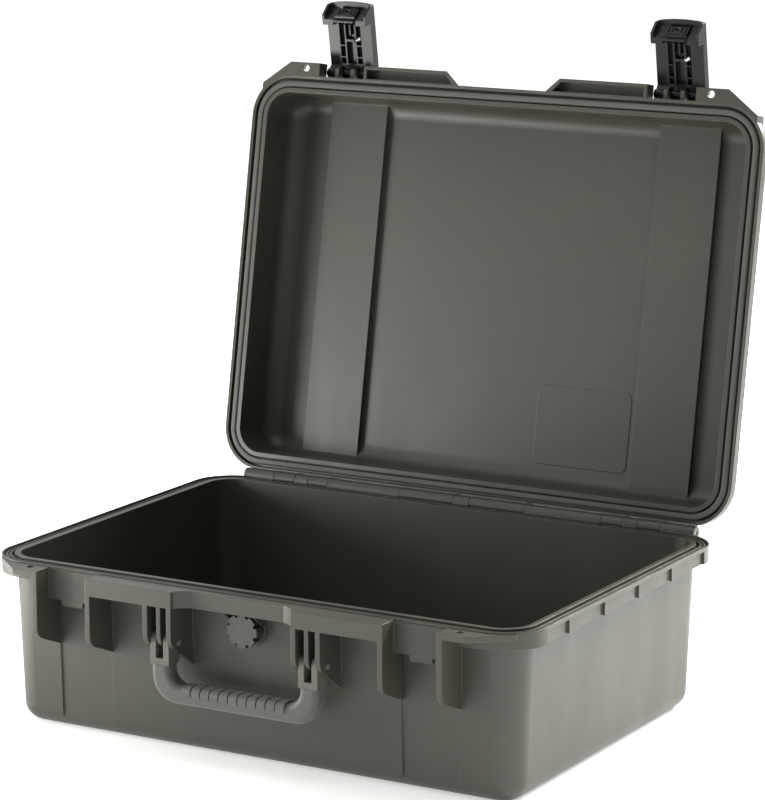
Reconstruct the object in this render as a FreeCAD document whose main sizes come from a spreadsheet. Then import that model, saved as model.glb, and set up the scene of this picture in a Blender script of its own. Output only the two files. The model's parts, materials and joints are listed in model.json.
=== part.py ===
import FreeCAD, Part
import math
import os
import Sketcher

# Hard equipment case: hinged moulded shell with two press latches and a drop handle.
# +Z is up, +Y is towards the hinge, origin at the bottom centre of the base. Millimetres.
# The lid and its latches are drawn closed and then placed in the open rest pose.

SIZES = {
    # tub openings and walls
    "open_len": 508.0, "open_wid": 351.0, "open_rad": 24.0, "wall": 3.6, "draft": 2.2,
    "base_height": 153.0, "floor_thick": 4.0, "bottom_round": 17.0, "inner_round": 13.0,
    "lid_inner": 51.0, "lid_thick": 4.0, "lid_round": 20.0, "seam_gap": 0.4,
    # rim of both halves
    "flange_w": 16.8, "skirt_h": 15.0, "under_top": 6.0, "skirt_wall": 3.0,
    "ridge_drop": 1.2, "trough_depth": 4.2, "bead_w": 5.0, "trough_w": 3.2, "ridge_w": 1.5,
    "side_recess": 2.2, "side_recess_end": 25.5, "side_rib_w": 2.6, "side_rib_pitch": 65.5,
    "side_rib_shift": 13.8, "side_lip": 3.0,
    # front of the base
    "front_out": 36.5, "fin_in_back": 110.1, "fin_in_t": 4.6, "fin_out_back": 54.4, "fin_out_t": 4.7,
    "fin_drop": 60.0, "fin_tail": 74.0,
    "lock_x_back": 39.5, "lock_out": 24.0, "lock_rad": 3.5, "lock_flat_back": 29.0, "lock_end_back": -4.0,
    "plate_t": 5.0, "band_drop": 16.0, "band_wall": 3.0, "band_low": 1.0,
    "recess_half": 46.0, "recess_out": 24.5, "recess_slope": 14.0,
    "keeper_out": 17.9, "keeper_t": 3.0, "keeper_drop": 29.0, "tab_half": 11.0, "tab_drop": 34.0,
    "channel_depth": 1.4, "channel_a_back": 108.0, "channel_b_back": 53.5,
    "rib_drop": 50.0, "rib_tail": 73.0, "rib_mid_tail": 59.0, "rib_mid_back": 2.0,
    "rib_one": 60.0, "rib_one_t": 4.5,
    "rib_two": 72.0, "rib_two_t": 4.0, "rib_three": 84.0, "rib_three_t": 4.5,
    "gusset_x": 14.0, "gusset_t": 1.5, "gusset_drop": 34.0,
    # hinge
    "hinge_out": 22.1, "knuckle_rad": 6.5, "knuckle_clear": 0.6, "hinge_gap": 0.4,
    "hinge_a": 8.6, "hinge_b": 67.1, "hinge_c_back": 107.5, "hinge_d_back": 85.8, "hinge_e_back": 70.6,
    "hinge_f_back": 47.2, "hinge_end_back": 13.0, "hinge_pin_rad": 2.0, "hinge_fit": 0.05,
    "open_angle": 100.3,
    # lid details
    "seal_in": 5.4, "seal_w": 6.2, "seal_h": 5.6, "seal_round": 2.2,
    "groove_in": 4.2, "groove_w": 9.6, "groove_depth": 6.0,
    "lid_front_out": 29.5, "lid_skirt": 14.0, "lid_band_foot": 46.0, "lid_band_top": 60.0,
    "pocket_in_back": 104.0, "pocket_out_back": 54.5, "pocket_wall": 3.0, "lid_flat_back": 22.0,
    "lid_end_back": -8.0, "lid_skin": 4.0, "lid_flange_h": 9.5, "strip_side": 3.5,
    "strip_in_back": 108.0, "strip_w": 62.0, "strip_h": 6.0,
    "label_x_back": 163.0, "label_y_back": 57.0, "label_w": 98.0, "label_d": 75.0, "label_rad": 7.0,
    "label_h": 0.5,
    # latches, drawn about their pivots
    "latch_x_back": 79.25, "pivot_out": 21.9, "pivot_up": 18.0, "latch_angle": 70.5,
    "latch_w": 48.3, "latch_len": 68.7, "latch_front": 13.5, "latch_skin": 2.9, "latch_side": 2.4,
    "latch_wing": 5.3, "latch_eye": 4.5, "hood_top": 48.8, "hood_low": 58.2, "hood_in": 4.0,
    "ramp_low": 54.5, "ramp_high": 60.0, "ramp_back": 7.5, "gap_half": 12.2, "gap_end": 65.0,
    "well_half": 11.7, "well_rib_in": 4.8, "well_rib_out": 6.5, "well_wall": 1.4, "tongue_half": 0.8,
    "well_start": 9.0, "well_one": 14.6, "well_two": 26.0, "bridge": 30.5, "bridge_end": 33.0,
    "tongue_end": 37.0, "well_end": 47.6, "post_half": 8.5, "post_t": 4.0, "post_low": 6.0,
    "latch_pin_rad": 1.5, "latch_fit": 0.05, "sight_x": 5.5, "sight_z": 32.0, "sight_rad": 1.9,
    "slot_half": 2.1, "slot_z": 60.2, "slot_h": 1.7,
    "button_w": 22.6, "button_h": 10.6, "button_back": 6.8, "button_face": 2.6, "button_lip": 5.0,
    "slide_gap": 0.4, "hook_y": 7.0, "hook_t": 3.2, "ridge_in": 4.6, "ridge_out": 8.6, "thumb_w": 1.0,
    "thumb_h": 1.3, "spring_rad": 3.0, "spring_wire": 0.35, "spring_pitch": 1.45,
    # handle, drawn hanging about its pivot
    "handle_out": 24.5, "handle_down": 48.0, "eye_rad": 8.0, "prong_clear": 0.35, "prong_w": 5.6,
    "fork_base": 14.2, "handle_seam": 20.0, "handle_drop": 45.0, "arm_x": 74.25, "arm_w": 18.6,
    "arm_t": 16.6, "bend_rad": 24.0, "core_edge": 3.8, "core_fit": 0.05, "grip_round": 5.5,
    "grip_pitch": 9.4, "grip_w": 8.2, "grip_over": 1.1, "grip_low": 6.0,
    "handle_pin_rad": 2.5, "handle_fit": 0.05, "pin_stand": 1.5,
    # pressure valve, drawn along its own axis
    "valve_down": 31.5, "valve_bore": 7.0, "valve_boss": 16.5, "boss_out": 5.5,
    "boss_in": 3.5, "valve_flange": 12.5, "valve_seal_in": 8.0, "valve_seal_t": 1.6,
    "valve_flange_t": 3.0, "valve_shank": 6.6, "valve_cap_rad": 15.0, "valve_cap_t": 8.0,
    "notch_w": 3.4, "notch_depth": 2.6, "valve_nut_t": 5.0, "valve_nut_rad": 11.0,
    "valve_nut_gap": 0.1, "membrane_rad": 9.0, "membrane_t": 0.8, "cap_room": 3.5,
    "cap_bore": 10.0,
}
GRIP_RIBS = 11
VALVE_NOTCHES = 8
SIDES = (("left", -1), ("right", 1))

doc = FreeCAD.newDocument("equipment_case")
sheet = doc.addObject("Spreadsheet::Sheet", "Sizes")
for row, (alias, value) in enumerate(SIZES.items(), start=1):
    sheet.set("A%d" % row, alias)
    sheet.set("B%d" % row, str(value))
    sheet.setAlias("B%d" % row, alias)
doc.recompute()


class Length:
    """A size that carries both its sheet formula and its present value."""

    def __init__(self, text, value):
        self.text = text
        self.value = value

    def joined(self, other, sign, value):
        return Length("(%s %s %s)" % (self.text, sign, other.text), value)

    def __add__(self, other):
        other = length(other)
        return self.joined(other, "+", self.value + other.value)

    def __sub__(self, other):
        other = length(other)
        return self.joined(other, "-", self.value - other.value)

    def __mul__(self, other):
        other = length(other)
        return self.joined(other, "*", self.value * other.value)

    def __truediv__(self, other):
        other = length(other)
        return self.joined(other, "/", self.value / other.value)

    def __neg__(self):
        return Length("(0 - %s)" % self.text, -self.value)

    def __rmul__(self, other):
        return length(other) * self

    def __radd__(self, other):
        return length(other) + self


def length(number):
    if isinstance(number, Length):
        return number
    return Length(repr(float(number)), float(number))


class Sheet:
    """Every alias of the sheet as an attribute."""

    def __getattr__(self, alias):
        return Length("Sizes." + alias, float(sheet.get(alias)))


S = Sheet()


def tangent(angle):
    return Length("tan(%s * 1deg)" % angle.text, math.tan(math.radians(angle.value)))


# ---------------------------------------------------------------- sketch helpers

def new_body(name):
    body = doc.addObject("PartDesign::Body", name)
    body.Label = name
    return body


def plane_of(body, role):
    return [f for f in body.Origin.OriginFeatures if f.Role == role][0]


def new_sketch(body, role, offset):
    """Empty sketch on one of the body's own planes, moved along the plane's normal."""
    sketch = body.newObject("Sketcher::SketchObject", "sketch")
    sketch.AttachmentSupport = (plane_of(body, role), "")
    sketch.MapMode = "FlatFace"
    sketch.setExpression("AttachmentOffset.Base.z", length(offset).text)
    return sketch


def bind(sketch, kind, *args):
    """Add a driving constraint whose last argument is a Length."""
    target = length(args[-1])
    index = sketch.addConstraint(Sketcher.Constraint(kind, *args[:-1], target.value))
    sketch.setExpression("Constraints[%d]" % index, target.text)


def pin_point(sketch, geo, end, x, y):
    bind(sketch, "DistanceX", -1, 1, geo, end, x)
    bind(sketch, "DistanceY", -1, 1, geo, end, y)


def add_polygon(sketch, points):
    """Closed outline through points given as (x, y) lengths."""
    points = [(length(x), length(y)) for x, y in points]
    flat = [FreeCAD.Vector(x.value, y.value, 0) for x, y in points]
    count = len(points)
    first = sketch.GeometryCount
    for i in range(count):
        sketch.addGeometry(Part.LineSegment(flat[i], flat[(i + 1) % count]), False)
    for i in range(count):
        following = first + (i + 1) % count
        sketch.addConstraint(Sketcher.Constraint("Coincident", first + i, 2, following, 1))
    for i in range(count):
        pin_point(sketch, first + i, 1, points[i][0], points[i][1])


def add_circle(sketch, x, y, radius):
    x, y, radius = length(x), length(y), length(radius)
    centre = FreeCAD.Vector(x.value, y.value, 0)
    shape = Part.Circle(centre, FreeCAD.Vector(0, 0, 1), radius.value)
    geo = sketch.addGeometry(shape, False)
    bind(sketch, "Radius", geo, radius)
    pin_point(sketch, geo, 3, x, y)


def add_round_rect(sketch, x, y, half_x, half_y, radius):
    """Rectangle with rounded corners about (x, y)."""
    x, y, half_x, half_y = length(x), length(y), length(half_x), length(half_y)
    radius = length(radius)
    low_x, high_x = x - half_x, x + half_x
    low_y, high_y = y - half_y, y + half_y
    corners = (
        (high_x - radius, low_y + radius, -90), (high_x - radius, high_y - radius, 0),
        (low_x + radius, high_y - radius, 90), (low_x + radius, low_y + radius, 180))
    first = sketch.GeometryCount
    ends = []
    for cx, cy, start in corners:
        centre = FreeCAD.Vector(cx.value, cy.value, 0)
        circle = Part.Circle(centre, FreeCAD.Vector(0, 0, 1), radius.value)
        arc = Part.ArcOfCircle(circle, math.radians(start), math.radians(start + 90))
        sketch.addGeometry(arc, False)
        ends.append((arc.StartPoint, arc.EndPoint))
    for i in range(4):
        sketch.addGeometry(Part.LineSegment(ends[i][1], ends[(i + 1) % 4][0]), False)
    for i in range(4):
        arc, line = first + i, first + 4 + i
        sketch.addConstraint(Sketcher.Constraint("Tangent", arc, 2, line, 1))
        sketch.addConstraint(Sketcher.Constraint("Tangent", line, 2, first + (i + 1) % 4, 1))
    for i in range(4):
        kind = "Vertical" if i % 2 == 0 else "Horizontal"
        sketch.addConstraint(Sketcher.Constraint(kind, first + 4 + i))
    bind(sketch, "Radius", first, radius)
    for i in range(1, 4):
        sketch.addConstraint(Sketcher.Constraint("Equal", first, first + i))
    pin_point(sketch, first, 3, high_x - radius, low_y + radius)
    pin_point(sketch, first + 2, 3, low_x + radius, high_y - radius)


# ---------------------------------------------------------------- feature helpers

def extrude(body, sketch, kind, depth, reverse=False, taper=None):
    """Pad or pocket of a sketch; pads go along the plane's normal, pockets against it."""
    feature = body.newObject("PartDesign::" + kind, kind.lower())
    feature.Profile = sketch
    feature.Reversed = reverse
    feature.setExpression("Length", length(depth).text)
    if taper is not None:
        feature.setExpression("TaperAngle", taper.text)
    return feature


def pad_up(body, z, depth, draw, taper=None):
    sketch = new_sketch(body, "XY_Plane", z)
    draw(sketch)
    return extrude(body, sketch, "Pad", depth, False, taper)


def pad_down(body, z, depth, draw, taper=None):
    sketch = new_sketch(body, "XY_Plane", z)
    draw(sketch)
    return extrude(body, sketch, "Pad", depth, True, taper)


def pocket_up(body, z, depth, draw):
    sketch = new_sketch(body, "XY_Plane", z)
    draw(sketch)
    return extrude(body, sketch, "Pocket", depth, True)


def pocket_x(body, x, depth, draw):
    """Pocket drawn in the Y-Z plane at x and running towards +X."""
    sketch = new_sketch(body, "YZ_Plane", x)
    draw(sketch)
    return extrude(body, sketch, "Pocket", depth, True)


def round_edges(body, radius, test):
    """Fillet every edge of the tip for which test(edge) is true."""
    doc.recompute()
    tip = body.Tip
    names = ["Edge%d" % (i + 1) for i, edge in enumerate(tip.Shape.Edges) if test(edge)]
    fillet = body.newObject("PartDesign::Fillet", "fillet")
    fillet.Base = (tip, names)
    fillet.setExpression("Radius", length(radius).text)
    doc.recompute()
    return fillet


def level_edges(z):
    """Test for edges that lie wholly on one level."""
    return lambda edge: all(abs(v.Z - length(z).value) < 0.01 for v in edge.Vertexes)


TURNS = {
    "x": FreeCAD.Rotation(FreeCAD.Vector(1, 1, 1), 120),
    "y": FreeCAD.Rotation(FreeCAD.Vector(1, 0, 0), 90),
    "z": FreeCAD.Rotation(),
}


def solid(axis, start, depth, draw):
    """Prism of a sketch: x and z run towards plus, y runs towards the front (minus)."""
    sketch = doc.addObject("Sketcher::SketchObject", "sketch")
    sketch.Placement = FreeCAD.Placement(FreeCAD.Vector(), TURNS[axis])
    sketch.setExpression("Placement.Base." + axis, length(start).text)
    draw(sketch)
    block = doc.addObject("Part::Extrusion", "block")
    block.Base = sketch
    block.DirMode = "Normal"
    block.Solid = True
    block.FaceMakerClass = "Part::FaceMakerBullseye"
    block.setExpression("LengthFwd", length(depth).text)
    return block


def joined(name, pieces):
    group = doc.addObject("Part::MultiFuse", name)
    group.Shapes = pieces
    return group


def cut(name, base, tools):
    """Base less every tool, as one boolean."""
    result = doc.addObject("Part::Cut", name)
    result.Base = base
    result.Tool = joined(name + "_tools", tools) if len(tools) > 1 else tools[0]
    result.Label = name
    return result


def span(side, inner, width):
    """Left end of inner..inner+width on one side of the middle."""
    inner, width = length(inner), length(width)
    return inner if side > 0 else -(inner + width)


def rectangle(x0, y0, x1, y1):
    return lambda sketch: add_polygon(sketch, [(x0, y0), (x1, y0), (x1, y1), (x0, y1)])


def outline(points):
    return lambda sketch: add_polygon(sketch, points)


def disc(x, y, radius):
    return lambda sketch: add_circle(sketch, x, y, radius)


def annulus(x, y, outer, inner):
    def draw(sketch):
        add_circle(sketch, x, y, outer)
        add_circle(sketch, x, y, inner)
    return draw


def opening(grow):
    """The tub opening, grown outwards by a length."""
    grow = length(grow)
    return lambda sketch: add_round_rect(
        sketch, 0, 0, HALF_X + grow, HALF_Y + grow, S.open_rad + grow)


def ring(inner, width):
    """Ring between two growths of the tub opening."""
    def draw(sketch):
        opening(inner)(sketch)
        opening(length(inner) + width)(sketch)
    return draw


# ---------------------------------------------------------------- levels shared by the pieces

HALF_X = S.open_len / 2
HALF_Y = S.open_wid / 2
FRONT_Y = HALF_Y + S.front_out
RECESS_Y = HALF_Y + S.recess_out
KEEPER_Y = HALF_Y + S.keeper_out
HINGE_Y = HALF_Y + S.hinge_out
HANDLE_Y = HALF_Y + S.handle_out
PIVOT_Y = HALF_Y + S.pivot_out
LID_FRONT_Y = HALF_Y + S.lid_front_out
LOCK_Y = HALF_Y + S.lock_out
BOSS_FRONT_Y = HALF_Y + S.boss_out
BOSS_BACK_Y = HALF_Y - S.boss_in
FIN_IN_X = HALF_X - S.fin_in_back
FIN_OUT_X = HALF_X - S.fin_out_back
LOCK_X = HALF_X - S.lock_x_back
LOCK_FLAT_X = HALF_X - S.lock_flat_back
LOCK_END_X = HALF_X - S.lock_end_back
CHANNEL_A_X = HALF_X - S.channel_a_back
CHANNEL_B_X = HALF_X - S.channel_b_back
HINGE_C_X = HALF_X - S.hinge_c_back
HINGE_D_X = HALF_X - S.hinge_d_back
HINGE_E_X = HALF_X - S.hinge_e_back
HINGE_F_X = HALF_X - S.hinge_f_back
HINGE_END_X = HALF_X - S.hinge_end_back
POCKET_IN_X = HALF_X - S.pocket_in_back
POCKET_OUT_X = HALF_X - S.pocket_out_back
LID_FLAT_X = HALF_X - S.lid_flat_back
LID_END_X = HALF_X - S.lid_end_back
STRIP_IN_X = HALF_X - S.strip_in_back
LABEL_X = HALF_X - S.label_x_back
LATCH_X = HALF_X - S.latch_x_back
LABEL_Y = HALF_Y - S.label_y_back
RIM = S.base_height
LID_RIM = RIM + S.seam_gap
HINGE_Z = RIM + S.seam_gap / 2
WALL_Y = HALF_Y + S.wall
FLANGE_X = HALF_X + S.flange_w
FLANGE_Y = HALF_Y + S.flange_w
PIVOT_Z = RIM + S.pivot_up
HANDLE_Z = RIM - S.handle_down
VALVE_Z = RIM - S.valve_down

BASE_KNUCKLES = (
    (S.hinge_b, HINGE_C_X), (HINGE_D_X, HINGE_E_X), (HINGE_F_X, HINGE_END_X))
LID_KNUCKLES = ((S.hinge_a, S.hinge_b), (HINGE_C_X, HINGE_D_X), (HINGE_E_X, HINGE_F_X))


def open_lid():
    """Turn from the closed to the open lid about the hinge."""
    centre = FreeCAD.Vector(0, HINGE_Y.value, HINGE_Z.value)
    turn = FreeCAD.Rotation(FreeCAD.Vector(1, 0, 0), -S.open_angle.value)
    return FreeCAD.Placement(FreeCAD.Vector(0, 0, 0), turn, centre)


def open_latch(side):
    """Pivot frame of a latch, thrown open on the open lid."""
    spot = FreeCAD.Vector(side * LATCH_X.value, -PIVOT_Y.value, PIVOT_Z.value)
    turn = FreeCAD.Rotation(FreeCAD.Vector(1, 0, 0), -S.latch_angle.value)
    return open_lid().multiply(FreeCAD.Placement(spot, turn))


def hanging_handle():
    return FreeCAD.Placement(
        FreeCAD.Vector(0, -HANDLE_Y.value, HANDLE_Z.value), FreeCAD.Rotation())


# ---------------------------------------------------------------- base

def fin_profile(drop, tail, set_back=0):
    """Side view of a front rib: upright nose with a rounded foot and a tail back to the wall."""
    back = -(WALL_Y - 2.5)
    nose = -(FRONT_Y - set_back)
    low = RIM - drop
    return outline([
        (back, RIM - S.band_low), (nose, RIM - S.band_low), (nose, low + 8.0),
        (nose + 0.7, low + 4.0), (nose + 2.7, low + 0.5), (nose + 5.6, low - 2.0),
        (back, RIM - tail)])


def knuckle_spans(ranges, grow):
    """(start, width) of every barrel on both sides of the middle."""
    spans = []
    for name, side in SIDES:
        for low, high in ranges:
            width = high - low + grow * 2.0
            spans.append((span(side, low - grow, width), width))
    return spans


def barrels(spans, web):
    """Hinge barrels with their webs."""
    pieces = []
    for x, width in spans:
        pieces.append(solid("x", x, width, disc(HINGE_Y, HINGE_Z, S.knuckle_rad)))
        pieces.append(solid("x", x, width, outline(web)))
    return pieces


def barrel_cuts(spans):
    """Room for the other half's barrels, and the bore of the hinge pins."""
    room = S.knuckle_rad + S.knuckle_clear
    tools = [solid("x", x, width, disc(HINGE_Y, HINGE_Z, room)) for x, width in spans]
    bore = disc(HINGE_Y, HINGE_Z, S.hinge_pin_rad + S.hinge_fit)
    tools.append(solid("x", -HINGE_END_X - 1.0, HINGE_END_X * 2.0 + 2.0, bore))
    return tools


def tub_body():
    """Outside of the base with the shallow channels down its front wall."""
    body = new_body("tub_outside")
    pad_down(body, RIM, S.base_height, opening(S.wall), -S.draft)
    round_edges(body, S.bottom_round, level_edges(0))
    lean = S.base_height * tangent(S.draft)
    deep = -(WALL_Y - S.channel_depth)
    width = CHANNEL_B_X - CHANNEL_A_X
    for name, side in SIDES:
        pocket_x(body, span(side, CHANNEL_A_X, width), width, outline([
            (deep, RIM + 1.0), (-FRONT_Y, RIM + 1.0), (-FRONT_Y, -1.0), (deep + lean, -1.0)]))
    return body


def base_flange():
    """Rim flange: hollow underneath, its end faces set back between small ribs."""
    body = new_body("base_flange")
    low = RIM - S.skirt_h
    pad_up(body, low, S.skirt_h, opening(S.flange_w))
    pocket_up(body, low, S.skirt_h - S.under_top,
              ring(S.wall + 1.0, S.flange_w - S.skirt_wall - S.wall - 1.0))
    half = HALF_Y - S.side_recess_end
    marks = [-half]
    for k in (-1.5, -0.5, 0.5, 1.5):
        y = S.side_rib_pitch * k - S.side_rib_shift
        marks += [y - S.side_rib_w / 2, y + S.side_rib_w / 2]
    marks.append(half)
    for name, side in SIDES:
        x = span(side, FLANGE_X - S.side_recess, S.side_recess + 1.0)
        for y0, y1 in zip(marks[0::2], marks[1::2]):
            pocket_x(body, x, S.side_recess + 1.0,
                     rectangle(y0, low - 1.0, y1, RIM - S.side_lip))
    return body


def front_band():
    """Front band of the base, set back between the handle brackets, hollow underneath."""
    body = new_body("front_band")
    low = RIM - S.band_drop
    corner = S.recess_half + S.recess_slope
    sweep = FRONT_Y - RECESS_Y
    bend = [(corner - S.recess_slope * math.sin(math.radians(turn)),
             -(RECESS_Y + sweep * (1.0 - math.sin(math.radians(turn)) ** 0.5)))
            for turn in (4, 12, 24, 40, 60, 90)]
    back = -(WALL_Y - 1.0)
    pad_up(body, low, S.band_drop - S.band_low, outline(
        [(-FIN_IN_X - 1.0, -FRONT_Y), (-corner, -FRONT_Y)] + [(-x, y) for x, y in bend]
        + bend[::-1] + [(corner, -FRONT_Y), (FIN_IN_X + 1.0, -FRONT_Y),
                        (FIN_IN_X + 1.0, back), (-FIN_IN_X - 1.0, back)]))
    deep = S.band_drop - S.band_low - S.band_wall
    hollow_back = -(FLANGE_Y - 0.5)
    inner = S.rib_three + 2.0
    for name, side in SIDES:
        pocket_up(body, low, deep, outline([
            (side * inner, -(FRONT_Y - S.band_wall)), (side * FIN_IN_X, -(FRONT_Y - S.band_wall)),
            (side * FIN_IN_X, hollow_back), (side * inner, hollow_back)]))
    half = S.recess_half - 3.0
    pocket_up(body, low, deep, rectangle(-half, -(RECESS_Y - S.band_wall), half, hollow_back))
    return body


def base_front():
    """Padlock plates, guard fins, bracket ribs, keepers, gussets and the valve boss."""
    pieces = []
    outer_ribs = ((S.rib_one, S.rib_one_t), (S.rib_three, S.rib_three_t))
    fins = ((FIN_IN_X, S.fin_in_t), (FIN_OUT_X, S.fin_out_t))
    inner = FIN_IN_X + S.fin_in_t - 0.5
    width = FIN_OUT_X - inner + 0.5
    for name, side in SIDES:
        pieces.append(solid("z", RIM - S.band_low - S.plate_t, S.plate_t, outline([
            (side * (FIN_OUT_X + 0.5), -FRONT_Y), (side * LOCK_FLAT_X, -FRONT_Y),
            (side * LOCK_END_X, -(WALL_Y + 4.0)), (side * LOCK_END_X, -(WALL_Y - 6.0)),
            (side * (FIN_OUT_X + 0.5), -(WALL_Y - 2.0))])))
        for low, thick in fins:
            pieces.append(solid("x", span(side, low, thick), thick,
                                fin_profile(S.fin_drop, S.fin_tail)))
        for low, thick in outer_ribs:
            pieces.append(solid("x", span(side, low, thick), thick,
                                fin_profile(S.rib_drop, S.rib_tail)))
        pieces.append(solid("x", span(side, S.rib_two, S.rib_two_t), S.rib_two_t,
                            fin_profile(S.rib_drop, S.rib_mid_tail, S.rib_mid_back)))
        x = span(side, inner, width)
        middle = side * LATCH_X
        back = -(KEEPER_Y - S.keeper_t)
        pieces.append(solid("y", back, S.keeper_t, outline([
            (x, RIM - 2.0), (x, RIM - S.keeper_drop), (middle - S.tab_half, RIM - S.keeper_drop),
            (middle - S.tab_half, RIM - S.tab_drop), (middle + S.tab_half, RIM - S.tab_drop),
            (middle + S.tab_half, RIM - S.keeper_drop), (x + width, RIM - S.keeper_drop),
            (x + width, RIM - 2.0)])))
        shelf = RIM - S.band_drop + 1.0
        pieces.append(solid("x", span(side, S.gusset_x, S.gusset_t), S.gusset_t, outline([
            (-(WALL_Y - 4.0), shelf), (-(RECESS_Y - 1.0), shelf),
            (-(RECESS_Y - 1.0), shelf - 1.0), (-(WALL_Y - 4.0), RIM - S.gusset_drop)])))
    pieces.append(solid("y", -BOSS_BACK_Y, BOSS_FRONT_Y - BOSS_BACK_Y,
                        disc(0, VALVE_Z, S.valve_boss)))
    return pieces


def make_base():
    root = FLANGE_Y - 4.0
    web = [(root, RIM - S.skirt_h), (HINGE_Y - 1.0, RIM - S.skirt_h),
           (HINGE_Y + S.knuckle_rad - 0.3, HINGE_Z - 2.0), (HINGE_Y, HINGE_Z),
           (root, RIM - 1.0)]
    middle = S.hinge_a - S.hinge_gap / 2
    spans = knuckle_spans(BASE_KNUCKLES, -S.hinge_gap / 2) + [(-middle, middle * 2.0)]
    adds = [tub_body(), base_flange(), front_band()] + base_front() + barrels(spans, web)

    cavity = new_body("base_cavity")
    depth = S.base_height - S.floor_thick
    pad_down(cavity, RIM, depth, opening(0), -S.draft)
    round_edges(cavity, S.inner_round, level_edges(S.floor_thick))
    lid_room = solid("z", RIM, 20.0, opening(0))
    tools = [cavity, lid_room] + barrel_cuts(knuckle_spans(LID_KNUCKLES, S.hinge_gap / 2))

    # ridges and troughs along the rim, between the inner bead and the outer lip
    step = S.bead_w
    for k, width in enumerate((S.trough_w, S.trough_w - 1.2, S.trough_w - 1.2)):
        drop = S.trough_depth if k == 0 else S.trough_depth - 1.2
        tools.append(solid("z", RIM - drop, drop + 1.0, ring(step, width)))
        step = step + width
        if k < 2:
            tools.append(solid("z", RIM - S.ridge_drop, S.ridge_drop + 1.0, ring(step, S.ridge_w)))
            step = step + S.ridge_w

    tools.append(solid("y", -BOSS_BACK_Y + 8.0, BOSS_FRONT_Y - BOSS_BACK_Y + 12.0,
                       disc(0, VALVE_Z, S.valve_bore)))
    reach = S.rib_three + S.rib_three_t - S.rib_one + 2.0
    for name, side in SIDES:
        tools.append(solid("z", RIM - S.plate_t - 3.0, S.plate_t + 6.0,
                           disc(side * LOCK_X, -LOCK_Y, S.lock_rad)))
        tools.append(solid("x", span(side, S.rib_one - 1.0, reach), reach,
                           disc(-HANDLE_Y, HANDLE_Z, S.handle_pin_rad + 0.02)))
    return cut("base_shell", joined("base_adds", adds), tools)


# ---------------------------------------------------------------- lid

def lid_outside():
    body = new_body("lid_outside")
    height = S.lid_inner + S.lid_thick
    pad_up(body, LID_RIM, height, opening(S.wall), -S.draft)
    round_edges(body, S.lid_round, level_edges(LID_RIM + height))
    width = S.strip_w - S.strip_side * 2.0
    top = LID_RIM + height
    far = HALF_Y + 20.0
    for name, side in SIDES:
        pocket_x(body, span(side, STRIP_IN_X + S.strip_side, width), width,
                 rectangle(-far, top - S.strip_h, far, top + 1.0))
    return body


def lid_cavity():
    """Room inside the lid; the two strips and the label panel stand into it."""
    body = new_body("lid_cavity")
    pad_up(body, LID_RIM, S.lid_inner, opening(0), -S.draft)
    ceiling = LID_RIM + S.lid_inner
    round_edges(body, S.lid_round - S.wall, level_edges(ceiling))
    far = HALF_Y + 20.0
    for name, side in SIDES:
        pocket_x(body, span(side, STRIP_IN_X, S.strip_w), S.strip_w,
                 rectangle(-far, ceiling - S.strip_h, far, ceiling + 1.0))
    pocket_up(body, ceiling - S.label_h, S.label_h + 1.0, lambda sketch: add_round_rect(
        sketch, LABEL_X, LABEL_Y, S.label_w / 2, S.label_d / 2, S.label_rad))
    return body


def lid_front():
    """Front bands, padlock plates, latch pocket walls and pivot posts."""
    adds = []
    tools = []
    nose = -LID_FRONT_Y
    root = -(FLANGE_Y - 2.0)
    deep = S.lid_skirt - S.lid_skin
    wall = S.pocket_wall
    for name, side in SIDES:
        adds.append(solid("z", LID_RIM, S.lid_skirt, outline([
            (side * S.lid_band_foot, root), (side * S.lid_band_foot, -FLANGE_Y),
            (side * S.lid_band_top, nose), (side * POCKET_IN_X, nose), (side * POCKET_IN_X, root)])))
        tools.append(solid("z", LID_RIM - 1.0, deep + 1.0, outline([
            (side * (S.lid_band_foot + 6.5), -(FLANGE_Y + 0.6)),
            (side * (S.lid_band_top + 1.2), nose + wall),
            (side * (POCKET_IN_X - wall), nose + wall),
            (side * (POCKET_IN_X - wall), -(FLANGE_Y + 0.6))])))
        adds.append(solid("z", LID_RIM, S.lid_skirt, outline([
            (side * POCKET_OUT_X, root), (side * POCKET_OUT_X, nose),
            (side * LID_FLAT_X, nose), (side * LID_END_X, -(WALL_Y + 4.0)),
            (side * LID_END_X, -(WALL_Y - 6.0)), (side * (LID_FLAT_X - 4.0), root)])))
        tools.append(solid("z", LID_RIM + S.plate_t, S.lid_skirt, outline([
            (side * (POCKET_OUT_X + wall), -(FLANGE_Y + 0.6)), (side * (POCKET_OUT_X + wall), nose - 1.0),
            (side * (LID_END_X + 1.0), nose - 1.0), (side * (LID_END_X + 1.0), -(FLANGE_Y + 0.6))])))
        tools.append(solid("z", LID_RIM - 1.0, S.lid_skirt + 2.0,
                           disc(side * LOCK_X, -LOCK_Y, S.lock_rad)))
        for turn in (-1, 1):
            x = side * LATCH_X + turn * S.post_half - S.post_t / 2
            adds.append(solid("x", x, S.post_t, disc(-PIVOT_Y, PIVOT_Z, S.latch_eye - 0.5)))
            adds.append(solid("x", x, S.post_t, rectangle(
                -PIVOT_Y, PIVOT_Z - S.latch_eye + 0.5, -(WALL_Y - 3.0), PIVOT_Z + S.latch_eye - 0.5)))
            adds.append(solid("x", x, S.post_t, rectangle(
                -(PIVOT_Y + S.latch_eye - 0.5), LID_RIM + S.post_low, -(WALL_Y - 3.0), PIVOT_Z)))
            tools.append(solid("x", x - 1.0, S.post_t + 2.0, disc(
                -PIVOT_Y, PIVOT_Z, S.latch_pin_rad + 0.02)))
    return adds, tools


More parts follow.
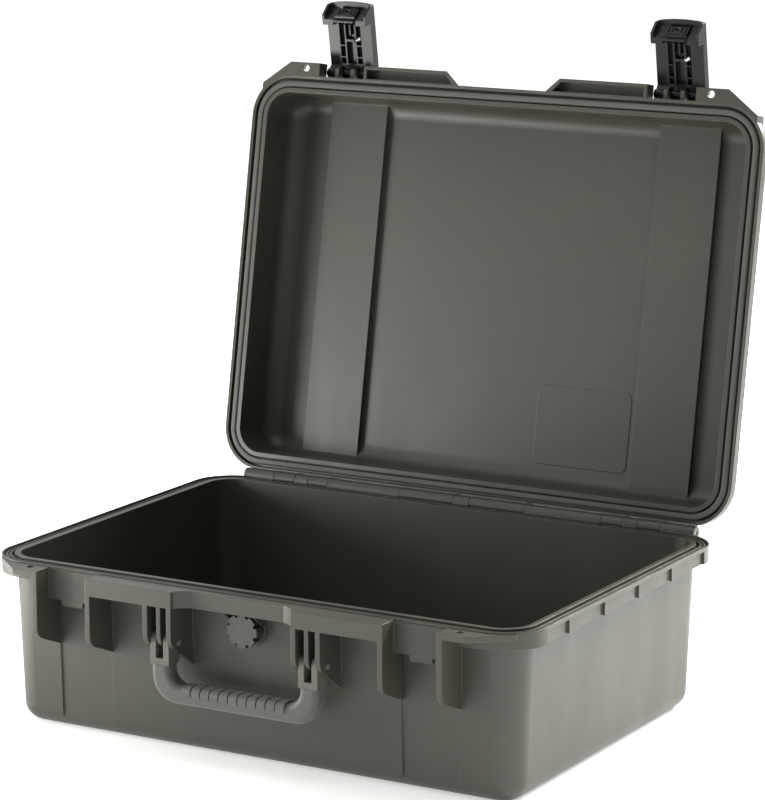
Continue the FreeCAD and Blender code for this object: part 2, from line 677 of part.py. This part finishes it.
def make_lid():
    root = FLANGE_Y - 4.0
    top = LID_RIM + S.lid_flange_h
    web = [(root, LID_RIM + 1.0), (HINGE_Y, HINGE_Z),
           (HINGE_Y + S.knuckle_rad - 0.3, HINGE_Z + 2.0), (HINGE_Y - 1.0, top), (root, top)]
    adds = [lid_outside(), solid("z", LID_RIM, S.lid_flange_h, opening(S.flange_w))]
    front_adds, tools = lid_front()
    adds += front_adds
    adds += barrels(knuckle_spans(LID_KNUCKLES, -S.hinge_gap / 2), web)
    tools.append(lid_cavity())
    spans = knuckle_spans(BASE_KNUCKLES, S.hinge_gap / 2)
    middle = S.hinge_a + S.hinge_gap / 2
    spans.append((-middle, middle * 2.0))
    tools += barrel_cuts(spans)
    tools.append(solid("z", LID_RIM - 1.0, S.groove_depth + 1.0, ring(S.groove_in, S.groove_w)))
    tools.append(solid("z", LID_RIM - 1.0, 1.3, ring(
        S.groove_in + S.groove_w, S.flange_w - S.groove_in - S.groove_w - 1.6)))
    lid = cut("lid_shell", joined("lid_adds", adds), tools)
    lid.Placement = open_lid()
    return lid


def make_seal():
    """Rim seal lying in the groove of the lid."""
    body = new_body("lid_seal")
    floor = LID_RIM + S.groove_depth
    pad_down(body, floor, S.seal_h, ring(S.seal_in, S.seal_w))
    round_edges(body, S.seal_round, level_edges(floor - S.seal_h))
    body.Placement = open_lid()
    return body


def make_hinge_pin(name, side):
    reach = HINGE_END_X - 2.0
    body = new_body(name)
    sketch = new_sketch(body, "YZ_Plane", span(side, 1.0, reach))
    add_circle(sketch, HINGE_Y, HINGE_Z, S.hinge_pin_rad)
    extrude(body, sketch, "Pad", reach)
    return body


# ---------------------------------------------------------------- latches

def latch_windows():
    """Openings of the ribbed well down the middle of a latch, as (low x, high x, low z, high z)."""
    wall = S.well_wall
    columns = ((-S.well_half, -S.well_rib_out), (S.well_rib_out, S.well_half))
    rows = ((S.well_start, S.well_one), (S.well_one + wall, S.well_two),
            (S.well_two + wall, S.well_end))
    windows = [(x0, x1, z0, z1) for x0, x1 in columns for z0, z1 in rows]
    middle = S.well_rib_in
    windows.append((-middle, middle, S.well_start, S.bridge))
    windows.append((-middle, middle, S.bridge_end, S.tongue_end))
    windows.append((-middle, -S.tongue_half, S.tongue_end - 0.1, S.well_end))
    windows.append((S.tongue_half, middle, S.tongue_end - 0.1, S.well_end))
    return windows


def make_latch(name, side):
    """Latch lever: skin, flat inner wings, ribbed well, finger hood and barrel for the pin."""
    half = S.latch_w / 2
    front = -S.latch_front
    inside = front + S.latch_skin
    length_z = -S.latch_len
    full = solid("x", -half, S.latch_w, outline([
        (-1.5, 4.2), (-8.5, 3.0), (front + 0.8, -2.0), (front, -7.0), (front, length_z + 2.5),
        (front + 0.8, length_z), (inside, length_z), (S.hood_in, -S.hood_low),
        (S.hood_in, -S.hood_top), (-S.latch_wing, -S.hood_top), (-S.latch_wing, -7.0),
        (-1.5, -4.2)]))
    barrel = solid("x", -half, S.latch_w, disc(0, 0, S.latch_eye))

    cup_half = half - S.latch_side
    tools = [
        solid("x", -cup_half, cup_half * 2.0, outline([
            (inside, length_z - 1.0), (20.0, length_z - 1.0), (20.0, -S.ramp_low),
            (S.hood_in, -S.ramp_low), (-S.ramp_back, -S.ramp_high), (inside, -S.ramp_high - 2.0)])),
        solid("x", -S.gap_half, S.gap_half * 2.0, rectangle(
            inside, -S.gap_end, 20.0, -S.well_end + 0.1)),
        solid("x", -half - 1.0, S.latch_w + 2.0, disc(0, 0, S.latch_pin_rad + S.latch_fit)),
        solid("y", 0, 20.0, disc(S.sight_x, -S.sight_z, S.sight_rad)),
        solid("y", 5.0, 25.0, rectangle(
            -S.slot_half, -S.slot_z - S.slot_h, S.slot_half, -S.slot_z))]
    for x0, x1, z0, z1 in latch_windows():
        tools.append(solid("x", x0, x1 - x0, rectangle(inside, -z1, 0.0, -z0)))
    for turn in (-1, 1):
        x = span(turn, S.post_half - S.post_t / 2 - 0.5, S.post_t + 1.0)
        tools.append(solid("x", x, S.post_t + 1.0, disc(0, 0, S.latch_eye + 0.1)))
        tools.append(solid("x", x, S.post_t + 1.0, rectangle(
            -S.latch_eye - 0.1, -S.pivot_up + 5.0, 10.0, 0.0)))
        tools.append(solid("x", x, S.post_t + 1.0, rectangle(
            -S.latch_eye * 2.0, -0.1, 0.0, S.latch_eye + 0.5)))
        tools.append(solid("y", 20.0, 40.0, outline([
            (turn * 6.0, length_z - 0.01), (turn * 17.0, length_z + 0.9),
            (turn * (half + 1.0), length_z + 2.6), (turn * (half + 1.0), length_z - 1.0),
            (turn * 6.0, length_z - 1.0)])))
    latch = cut(name, joined(name + "_adds", [full, barrel]), tools)
    latch.Placement = open_latch(side)
    return latch


def make_button(name, side):
    """Release button of a latch: hook under the keeper tab, sloped face with thumb ridges."""
    half = S.button_w / 2
    top = -(S.tab_drop + S.pivot_up + S.slide_gap)
    low = top - S.button_lip
    end = top - S.button_h
    adds = [solid("x", -half, S.button_w, outline([
        (-S.button_back, top), (S.hook_y, top), (S.hook_y, top - S.hook_t / 2),
        (S.button_face, top - S.hook_t), (S.button_face, low), (-S.button_back, end)]))]
    run_y = S.button_face + S.button_back
    run_z = low - end
    ridges = [(sign * x - S.thumb_w / 2, S.thumb_w)
              for sign in (-1, 1) for x in (S.ridge_in, S.ridge_out)]
    for x, width in ridges:
        adds.append(solid("x", x, width, outline([
            (S.button_face - run_y * 0.04, low + 0.6), (S.button_face + 0.3, low - S.thumb_h),
            (S.button_face - run_y * 0.86, low - run_z * 0.86 - S.thumb_h),
            (S.button_face - run_y * 0.90, low - run_z * 0.86)])))
    adds.append(solid("x", -S.ridge_out, S.ridge_out * 2.0, outline([
        (S.button_face - run_y * 0.04, low + 0.6), (S.button_face + 0.3, low - S.thumb_h),
        (S.button_face - run_y * 0.13, low - run_z * 0.10 - S.thumb_h),
        (S.button_face - run_y * 0.14, low)])))
    slot = solid("y", 5.0, 25.0, rectangle(
        -S.slot_half, -S.slot_z - S.slot_h, S.slot_half, -S.slot_z))
    button = cut(name, joined(name + "_adds", adds), [slot])
    button.Placement = open_latch(side)
    return button


def make_spring(name, side):
    """Small coil between the latch skin and its button."""
    start = -S.latch_front + S.latch_skin + S.spring_wire
    room = S.latch_front - S.latch_skin - S.button_back - S.spring_wire * 2.0
    body = new_body(name)
    sketch = new_sketch(body, "YZ_Plane", 0)
    middle = -(S.tab_drop + S.pivot_up + S.slide_gap + S.button_h / 2)
    sketch.setExpression("AttachmentOffset.Base.y", middle.text)
    add_circle(sketch, start, S.spring_rad, S.spring_wire - 0.03)
    coil = body.newObject("PartDesign::AdditiveHelix", "coil")
    coil.Profile = sketch
    coil.ReferenceAxis = (sketch, ["H_Axis"])
    coil.Mode = "pitch-height-angle"
    coil.setExpression("Pitch", S.spring_pitch.text)
    coil.setExpression("Height", room.text)
    body.Placement = open_latch(side)
    return body


def make_latch_pin(name, side):
    body = new_body(name)
    reach = S.latch_w - 1.0
    sketch = new_sketch(body, "YZ_Plane", -reach / 2)
    add_circle(sketch, 0, 0, S.latch_pin_rad)
    extrude(body, sketch, "Pad", reach)
    body.Placement = open_latch(side)
    return body


# ---------------------------------------------------------------- handle

def handle_loop(shrink):
    """Front view of the handle's bar and arms as a closed loop, shrunk to the core if asked."""
    shrink = length(shrink)
    outer_x = S.arm_x + S.arm_w / 2 - shrink
    inner_x = S.arm_x - S.arm_w / 2 + shrink
    bottom = S.handle_drop + S.arm_t / 2 - shrink
    top = S.handle_drop - S.arm_t / 2 + shrink

    def draw(sketch):
        add_round_rect(sketch, 0, 0, outer_x, bottom, S.bend_rad - shrink)
        add_round_rect(sketch, 0, 0, inner_x, top, S.bend_rad - S.arm_t + shrink + 6.0)

    return draw


def handle_core_blank(grow):
    """Rigid core of the bar and arms below the seam; grow makes the room for it."""
    grow = length(grow)
    edge = S.core_edge - grow
    thick = S.arm_t / 2 - edge
    loop = solid("y", thick, thick * 2.0, handle_loop(edge))
    upper = solid("z", -S.handle_seam + grow, 120.0, rectangle(-120.0, -40.0, 120.0, 40.0))
    return cut("core_blank", loop, [upper])


def make_handle_frame():
    """Forked ends that run on the pins, and the core that joins them."""
    adds = [handle_core_blank(0)]
    half = S.arm_t / 2
    starts = (S.rib_one + S.rib_one_t + S.prong_clear, S.rib_three - S.prong_clear - S.prong_w)
    for name, side in SIDES:
        for low in starts:
            x = span(side, low, S.prong_w)
            adds.append(solid("x", x, S.prong_w, disc(0, 0, S.eye_rad)))
            adds.append(solid("x", x, S.prong_w, rectangle(
                -S.eye_rad, -S.handle_seam, S.eye_rad, 0)))
        width = S.rib_three - S.rib_one - S.rib_one_t - S.prong_clear * 2.0
        x = span(side, S.rib_one + S.rib_one_t + S.prong_clear, width)
        adds.append(solid("x", x, width, rectangle(
            -S.eye_rad, -S.handle_seam, S.eye_rad, -S.fork_base)))
    bore = solid("x", -120.0, 240.0, disc(0, 0, S.handle_pin_rad + S.handle_fit))
    frame = cut("handle_frame", joined("handle_adds", adds), [bore])
    frame.Placement = hanging_handle()
    return frame


def make_handle_grip():
    """Soft cover over the core, with ribs along the bar."""
    body = new_body("grip_cover")
    half = S.arm_t / 2
    sketch = new_sketch(body, "XZ_Plane", -half)
    handle_loop(0)(sketch)
    extrude(body, sketch, "Pad", S.arm_t)
    sketch = new_sketch(body, "XY_Plane", -S.handle_seam)
    rectangle(-120.0, -40.0, 120.0, 40.0)(sketch)
    extrude(body, sketch, "Pocket", 120.0, True)
    doc.recompute()

    def long_edge(edge):
        box = edge.BoundBox
        flat = box.YLength < 0.01 and abs(abs(box.YMin) - half.value) < 0.01
        return flat and box.ZMin < -S.handle_seam.value - 0.01

    round_edges(body, S.grip_round, long_edge)
    adds = [body]
    low = S.handle_drop + half - S.grip_low
    high = S.handle_drop - half - S.grip_over
    for k in range(GRIP_RIBS):
        x = S.grip_pitch * (k - (GRIP_RIBS - 1) / 2) - S.grip_w / 2
        adds.append(solid("x", x, S.grip_w, lambda sketch: add_round_rect(
            sketch, 0, -(low + high) / 2, half + S.grip_over, (low - high) / 2, S.grip_round)))
    grip = cut("handle_grip", joined("grip_adds", adds), [handle_core_blank(S.core_fit)])
    grip.Placement = hanging_handle()
    return grip


def make_handle_pin(name, side):
    body = new_body(name)
    reach = S.rib_three + S.rib_three_t - S.rib_one + S.pin_stand * 2.0
    sketch = new_sketch(body, "YZ_Plane", span(side, S.rib_one - S.pin_stand, reach))
    add_circle(sketch, 0, 0, S.handle_pin_rad)
    extrude(body, sketch, "Pad", reach)
    body.Placement = hanging_handle()
    return body


# ---------------------------------------------------------------- pressure valve

def make_valve():
    """Valve body, cap, seal, nut and membrane, all on one axis through the front wall."""
    face = -BOSS_FRONT_Y
    seat = face - S.valve_seal_t
    crown = seat - S.valve_flange_t
    seal = solid("y", face, S.valve_seal_t, annulus(0, VALVE_Z, S.valve_flange - 1.0, S.valve_seal_in))
    seal.Label = "valve_seal"

    shank_start = -BOSS_BACK_Y + S.valve_nut_t + S.valve_nut_gap + 2.0
    stem = joined("valve_stem", [
        solid("y", shank_start, shank_start - seat + 0.5, disc(0, VALVE_Z, S.valve_shank)),
        solid("y", seat, S.valve_flange_t, disc(0, VALVE_Z, S.valve_flange))])
    vent = solid("y", shank_start + 1.0, shank_start - crown + 2.0, disc(0, VALVE_Z, S.valve_shank - 2.5))
    valve_body = cut("valve_body", stem, [vent])

    nut = solid("y", -BOSS_BACK_Y + S.valve_nut_t + S.valve_nut_gap, S.valve_nut_t,
                annulus(0, VALVE_Z, S.valve_nut_rad, S.valve_shank + 0.05))
    nut.Label = "valve_nut"

    membrane = solid("y", crown, S.membrane_t, disc(0, VALVE_Z, S.membrane_rad))
    membrane.Label = "valve_membrane"

    blank = solid("y", crown, S.valve_cap_t, disc(0, VALVE_Z, S.valve_cap_rad))
    tools = [solid("y", crown + 1.0, S.cap_room + 1.0, disc(0, VALVE_Z, S.cap_bore))]
    for k in range(VALVE_NOTCHES):
        turn = math.radians(360.0 / VALVE_NOTCHES * (k + 0.5))
        middle = S.valve_cap_rad + S.notch_w / 2 - S.notch_depth
        tools.append(solid("y", crown + 1.0, S.valve_cap_t + 2.0, disc(
            middle * math.cos(turn), VALVE_Z + middle * math.sin(turn), S.notch_w / 2)))
    cap = cut("valve_cap", blank, tools)
    return [valve_body, cap, seal, nut, membrane]


# ---------------------------------------------------------------- build and write out

pieces = [make_base(), make_lid(), make_seal()]
for side_name, side_sign in SIDES:
    pieces.append(make_hinge_pin("hinge_pin_" + side_name, side_sign))
    pieces.append(make_latch("latch_%s_lever" % side_name, side_sign))
    pieces.append(make_button("latch_%s_button" % side_name, side_sign))
    pieces.append(make_spring("latch_%s_spring" % side_name, side_sign))
    pieces.append(make_latch_pin("latch_%s_pin" % side_name, side_sign))
    pieces.append(make_handle_pin("handle_pin_" + side_name, side_sign))
pieces += [make_handle_frame(), make_handle_grip()]
pieces += make_valve()
doc.recompute()

for item in doc.Objects:
    if "Invalid" in item.State or "Error" in item.State:
        raise RuntimeError("%s did not build: %s" % (item.Label, item.State))
for piece in pieces:
    if piece.Shape.isNull() or not piece.Shape.isValid():
        raise RuntimeError("%s has no valid shape" % piece.Label)

os.makedirs("parts", exist_ok=True)
for piece in pieces:
    piece.Shape.exportStep("parts/%s.step" % piece.Label)
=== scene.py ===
import json
import math

import bpy
from mathutils import Matrix, Vector


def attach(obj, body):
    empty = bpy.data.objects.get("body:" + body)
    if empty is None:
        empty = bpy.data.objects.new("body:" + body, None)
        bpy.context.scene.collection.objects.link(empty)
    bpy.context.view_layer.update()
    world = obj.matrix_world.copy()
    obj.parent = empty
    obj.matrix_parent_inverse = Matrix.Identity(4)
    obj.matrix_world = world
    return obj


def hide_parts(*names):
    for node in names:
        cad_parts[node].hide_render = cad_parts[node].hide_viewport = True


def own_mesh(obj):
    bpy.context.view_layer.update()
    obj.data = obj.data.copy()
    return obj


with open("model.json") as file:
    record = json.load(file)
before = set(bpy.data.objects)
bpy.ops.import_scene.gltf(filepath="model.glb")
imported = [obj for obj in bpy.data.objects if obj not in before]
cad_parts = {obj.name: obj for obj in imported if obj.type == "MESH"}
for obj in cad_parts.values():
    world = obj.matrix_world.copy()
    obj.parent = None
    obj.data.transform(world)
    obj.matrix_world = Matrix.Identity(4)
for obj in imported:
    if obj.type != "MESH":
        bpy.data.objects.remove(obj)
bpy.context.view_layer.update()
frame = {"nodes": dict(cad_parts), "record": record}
nodes = frame["nodes"]

# ---------------------------------------------------------------- camera, light and floor

VIEW_AZIMUTH = math.radians(30.1)
VIEW_ELEVATION = math.radians(11.75)
VIEW_ROLL = math.radians(-0.03)
VIEW_DISTANCE = 3.1235
VIEW_TARGET = Vector((0.0066, 0.0337, 0.2818))
LENS_MM = 157.4
SENSOR_MM = 36.0

WARM_WHITE = (1.0, 0.985, 0.95)
# name, azimuth and elevation in degrees, distance, (width, height), power in watts
SOFTBOXES = (
    ("key", -56, 22, 1.9, (1.0, 1.2), 3),
    ("top", -10, 76, 2.2, (1.6, 1.2), 8),
    ("low_left", -58, -8, 0.95, (0.4, 0.4), 8),
    ("back_right", 156, 34, 2.4, (1.8, 1.4), 185),
)
# The world is dim towards this direction and white away from it, as a studio with an open side.
OPEN_SIDE = (0.80, -0.60, -0.15)
WORLD_FALL = (("From Min", -0.25), ("From Max", 0.55), ("To Min", 1.0), ("To Max", 0.16))

FLOOR_REACH = 12.0
FLOOR_COLOR = (0.93, 0.93, 0.92, 1.0)
FLOOR_ROUGH = 0.9
FLOOR_SPECULAR = 0.1
FLOOR_GLOW = 0.42


def direction(azimuth, elevation):
    """Unit vector from the object towards a viewer, azimuth turned from the front to the right."""
    return Vector((math.sin(azimuth) * math.cos(elevation),
                   -math.cos(azimuth) * math.cos(elevation), math.sin(elevation)))


def aim(thing, towards):
    thing.rotation_euler = (towards - thing.location).to_track_quat("-Z", "Y").to_euler()


def add_camera():
    data = bpy.data.cameras.new("camera")
    data.lens = LENS_MM
    data.sensor_width = SENSOR_MM
    camera = bpy.data.objects.new("camera", data)
    bpy.context.collection.objects.link(camera)
    camera.location = VIEW_TARGET + VIEW_DISTANCE * direction(VIEW_AZIMUTH, VIEW_ELEVATION)
    aim(camera, VIEW_TARGET)
    camera.rotation_euler = (camera.rotation_euler.to_matrix()
                             @ Matrix.Rotation(VIEW_ROLL, 3, "Z")).to_euler()
    bpy.context.scene.camera = camera


def add_softbox(name, azimuth, elevation, distance, size, power):
    data = bpy.data.lights.new(name, "AREA")
    data.shape = "RECTANGLE"
    data.size, data.size_y = size
    data.energy = power
    data.color = WARM_WHITE
    light = bpy.data.objects.new(name, data)
    bpy.context.collection.objects.link(light)
    towards = direction(math.radians(azimuth), math.radians(elevation))
    light.location = VIEW_TARGET + distance * towards
    aim(light, VIEW_TARGET)


def add_surroundings():
    """White world, dim towards its open side, and a pale floor that glows a little."""
    world = bpy.data.worlds.new("studio")
    world.use_nodes = True
    tree = world.node_tree
    background = tree.nodes["Background"]
    coords = tree.nodes.new("ShaderNodeTexCoord")
    dot = tree.nodes.new("ShaderNodeVectorMath")
    dot.operation = "DOT_PRODUCT"
    dot.inputs[1].default_value = OPEN_SIDE
    fall = tree.nodes.new("ShaderNodeMapRange")
    fall.interpolation_type = "SMOOTHSTEP"
    for key, value in WORLD_FALL:
        fall.inputs[key].default_value = value
    tree.links.new(coords.outputs["Generated"], dot.inputs[0])
    tree.links.new(dot.outputs["Value"], fall.inputs["Value"])
    tree.links.new(fall.outputs["Result"], background.inputs["Strength"])
    background.inputs["Color"].default_value = (1.0, 1.0, 1.0, 1.0)
    bpy.context.scene.world = world
    bpy.context.scene.view_settings.view_transform = "Standard"

    mesh = bpy.data.meshes.new("floor")
    corners = [(-1, -1), (1, -1), (1, 1), (-1, 1)]
    mesh.from_pydata([(x * FLOOR_REACH, y * FLOOR_REACH, 0) for x, y in corners],
                     [], [(0, 1, 2, 3)])
    floor = bpy.data.objects.new("floor", mesh)
    bpy.context.collection.objects.link(floor)
    pale = bpy.data.materials.new("pale_floor")
    pale.use_nodes = True
    shader = pale.node_tree.nodes["Principled BSDF"]
    shader.inputs["Base Color"].default_value = FLOOR_COLOR
    shader.inputs["Roughness"].default_value = FLOOR_ROUGH
    shader.inputs["Specular IOR Level"].default_value = FLOOR_SPECULAR
    shader.inputs["Emission Color"].default_value = (1.0, 1.0, 1.0, 1.0)
    shader.inputs["Emission Strength"].default_value = FLOOR_GLOW
    mesh.materials.append(pale)


add_camera()
add_surroundings()
for softbox in SOFTBOXES:
    add_softbox(*softbox)

# ---------------------------------------------------------------- materials

EDGE_FLAT, EDGE_TURNED = 0.998, 0.80
CLOUD_SCALE, FLECK_SCALE, FLOW_SCALE = 7.0, 420.0, 28.0
FLOW_STRETCH = (1.0, 1.0, 0.25)
DARKER, LIGHTER, FLECK_LIGHTER = 0.90, 1.10, 1.35
FLECK_MOST = 0.22
# Painted highlight on turned edges: how far their colour is lifted towards a paler tone, and how
# much smoother they are made there.
HIGHLIGHT_TIMES, HIGHLIGHT_PLUS, HIGHLIGHT_SMOOTHER = 1.9, 0.03, 0.25
HIGHLIGHT_LEAST = 0.4
ROUGH_LESS, ROUGH_MORE = 0.04, 0.05
COARSE_GRAIN, COARSE_SHARE = 0.37, 0.6
GRAIN_DEPTH = 0.00012
SHEEN_ROUGH = 0.5


class Shade:
    """A material with short helpers for its node tree."""

    def __init__(self, name):
        self.material = bpy.data.materials.new(name)
        self.material.use_nodes = True
        self.tree = self.material.node_tree
        self.shader = self.tree.nodes["Principled BSDF"]
        self.place = self.add("ShaderNodeTexCoord").outputs["Object"]

    def add(self, kind, **settings):
        node = self.tree.nodes.new(kind)
        for key, value in settings.items():
            setattr(node, key, value)
        return node

    def link(self, source, target):
        if isinstance(source, (int, float)):
            target.default_value = source
        elif isinstance(source, tuple):
            target.default_value = source + (1.0,)
        else:
            self.tree.links.new(source, target)

    def noise(self, scale, detail=2.0, rough=0.5, place=None):
        node = self.add("ShaderNodeTexNoise")
        self.link(place or self.place, node.inputs["Vector"])
        node.inputs["Scale"].default_value = scale
        node.inputs["Detail"].default_value = detail
        node.inputs["Roughness"].default_value = rough
        return node.outputs["Fac"]

    def stretched(self, scale):
        node = self.add("ShaderNodeMapping")
        self.link(self.place, node.inputs["Vector"])
        node.inputs["Scale"].default_value = scale
        return node.outputs["Vector"]

    def remap(self, value, low, high, out_low, out_high):
        node = self.add("ShaderNodeMapRange")
        self.link(value, node.inputs["Value"])
        node.inputs["From Min"].default_value = low
        node.inputs["From Max"].default_value = high
        node.inputs["To Min"].default_value = out_low
        node.inputs["To Max"].default_value = out_high
        return node.outputs["Result"]

    def math(self, how, first, second):
        node = self.add("ShaderNodeMath", operation=how)
        self.link(first, node.inputs[0])
        self.link(second, node.inputs[1])
        return node.outputs["Value"]

    def mix(self, amount, first, second):
        node = self.add("ShaderNodeMix", data_type="RGBA")
        self.link(amount, node.inputs["Factor"])
        self.link(first, node.inputs["A"])
        self.link(second, node.inputs["B"])
        return node.outputs["Result"]

    def bump(self, height, strength, distance, normal=None):
        node = self.add("ShaderNodeBump")
        node.inputs["Strength"].default_value = strength
        node.inputs["Distance"].default_value = distance
        self.link(height, node.inputs["Height"])
        if normal is not None:
            self.link(normal, node.inputs["Normal"])
        return node.outputs["Normal"]

    def edges(self, radius):
        """Rounded normal at the edges, and how far it turns from the flat one there."""
        bevel = self.add("ShaderNodeBevel", samples=6)
        bevel.inputs["Radius"].default_value = radius
        geometry = self.add("ShaderNodeNewGeometry")
        dot = self.add("ShaderNodeVectorMath", operation="DOT_PRODUCT")
        self.link(bevel.outputs["Normal"], dot.inputs[0])
        self.link(geometry.outputs["Normal"], dot.inputs[1])
        turned = self.remap(dot.outputs["Value"], EDGE_FLAT, EDGE_TURNED, 0.0, 1.0)
        return bevel.outputs["Normal"], turned


def scaled(color, factor):
    return tuple(c * factor for c in color)


def moulded(name, color, rough, edge_radius, grain=0.25, grain_scale=1100.0, edge_highlight=0.35,
            sheen=0.0, specular=0.5):
    """Moulded plastic or rubber: fine spark-eroded grain, faint flow clouds, and edges painted
    paler as a painted highlight.
    """
    shade = Shade(name)
    rounded, edge = shade.edges(edge_radius)
    clouds = shade.noise(CLOUD_SCALE, 3.0, 0.55)
    fleck = shade.noise(FLECK_SCALE, 3.0, 0.6)
    flow = shade.noise(FLOW_SCALE, 4.0, 0.6, shade.stretched(FLOW_STRETCH))
    base = shade.mix(shade.remap(clouds, 0.3, 0.7, 0.0, 1.0),
                     scaled(color, DARKER), scaled(color, LIGHTER))
    speck = shade.remap(fleck, 0.35, 0.75, 0.0, FLECK_MOST)
    base = shade.mix(speck, base, scaled(color, FLECK_LIGHTER))
    # Painted highlight: turned edges get a paler colour, varied by the flow noise, and a lower
    # roughness.
    highlight_amount = shade.remap(flow, 0.35, 0.65, HIGHLIGHT_LEAST * edge_highlight, edge_highlight)
    painted_highlight = shade.math("MULTIPLY", edge, highlight_amount)
    pale = tuple(min(1.0, c * HIGHLIGHT_TIMES + HIGHLIGHT_PLUS) for c in color)
    shade.link(shade.mix(painted_highlight, base, pale), shade.shader.inputs["Base Color"])
    uneven = shade.remap(flow, 0.3, 0.7, rough - ROUGH_LESS, rough + ROUGH_MORE)
    smoother = shade.math("MULTIPLY", painted_highlight, HIGHLIGHT_SMOOTHER)
    shade.link(shade.math("SUBTRACT", uneven, smoother), shade.shader.inputs["Roughness"])
    shade.shader.inputs["Specular IOR Level"].default_value = specular
    coarse = shade.noise(grain_scale * COARSE_GRAIN, 1.0, 0.5)
    height = shade.math("ADD", shade.noise(grain_scale, 2.0, 0.6),
                        shade.math("MULTIPLY", coarse, COARSE_SHARE))
    shade.link(shade.bump(height, grain, GRAIN_DEPTH, rounded), shade.shader.inputs["Normal"])
    if sheen:
        shade.shader.inputs["Sheen Weight"].default_value = sheen
        shade.shader.inputs["Sheen Roughness"].default_value = SHEEN_ROUGH
    return shade.material


# The edge amount given to each material sets the strength of its painted edge highlight.
looks = {
    "shell": moulded("shell_plastic", (0.047, 0.0445, 0.0335), 0.44, 0.0009, edge_highlight=0.7),
    "latch": moulded("latch_plastic", (0.011, 0.011, 0.010), 0.26, 0.0006, grain=0.08, edge_highlight=0.6,
                     specular=0.22),
    "valve": moulded("valve_plastic", (0.045, 0.044, 0.037), 0.30, 0.0005, grain=0.9,
                     grain_scale=420.0, edge_highlight=1.0),
    "handle_core": moulded("handle_core_plastic", (0.10, 0.097, 0.082), 0.42, 0.0006),
    "handle_cover": moulded("handle_rubber", (0.080, 0.078, 0.067), 0.55, 0.0008, grain=0.35,
                            grain_scale=900.0, edge_highlight=0.15, sheen=0.15),
    "seal": moulded("seal_rubber", (0.075, 0.073, 0.062), 0.6, 0.0004, grain=0.2),
    "membrane": moulded("filter_membrane", (0.5, 0.5, 0.48), 0.8, 0.0002, grain=0.6,
                        grain_scale=2600.0),
    "steel": moulded("pin_steel", (0.50, 0.50, 0.49), 0.32, 0.0002, grain=0.1),
}
looks["steel"].node_tree.nodes["Principled BSDF"].inputs["Metallic"].default_value = 1.0

slot_of = {part["node"]: part["material_slot"] for part in frame["record"]["subparts"]}
for name, node in nodes.items():
    node.data.materials.clear()
    node.data.materials.append(looks[slot_of[name]])

# ---------------------------------------------------------------- springs moved onto the latches


def add_spring(side):
    """The coil behind a button, copied from the CAD spring and attached to its latch, with the
    original hidden.
    """
    name = "latch_%s_spring" % side
    node = nodes[name]
    coil = bpy.data.objects.new("coil_%s" % side, node.data.copy())
    bpy.context.collection.objects.link(coil)
    coil.matrix_world = node.matrix_world.copy()
    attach(coil, "latch_%s" % side)
    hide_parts(name)
    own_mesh(coil)


for latch_side in ("left", "right"):
    add_spring(latch_side)
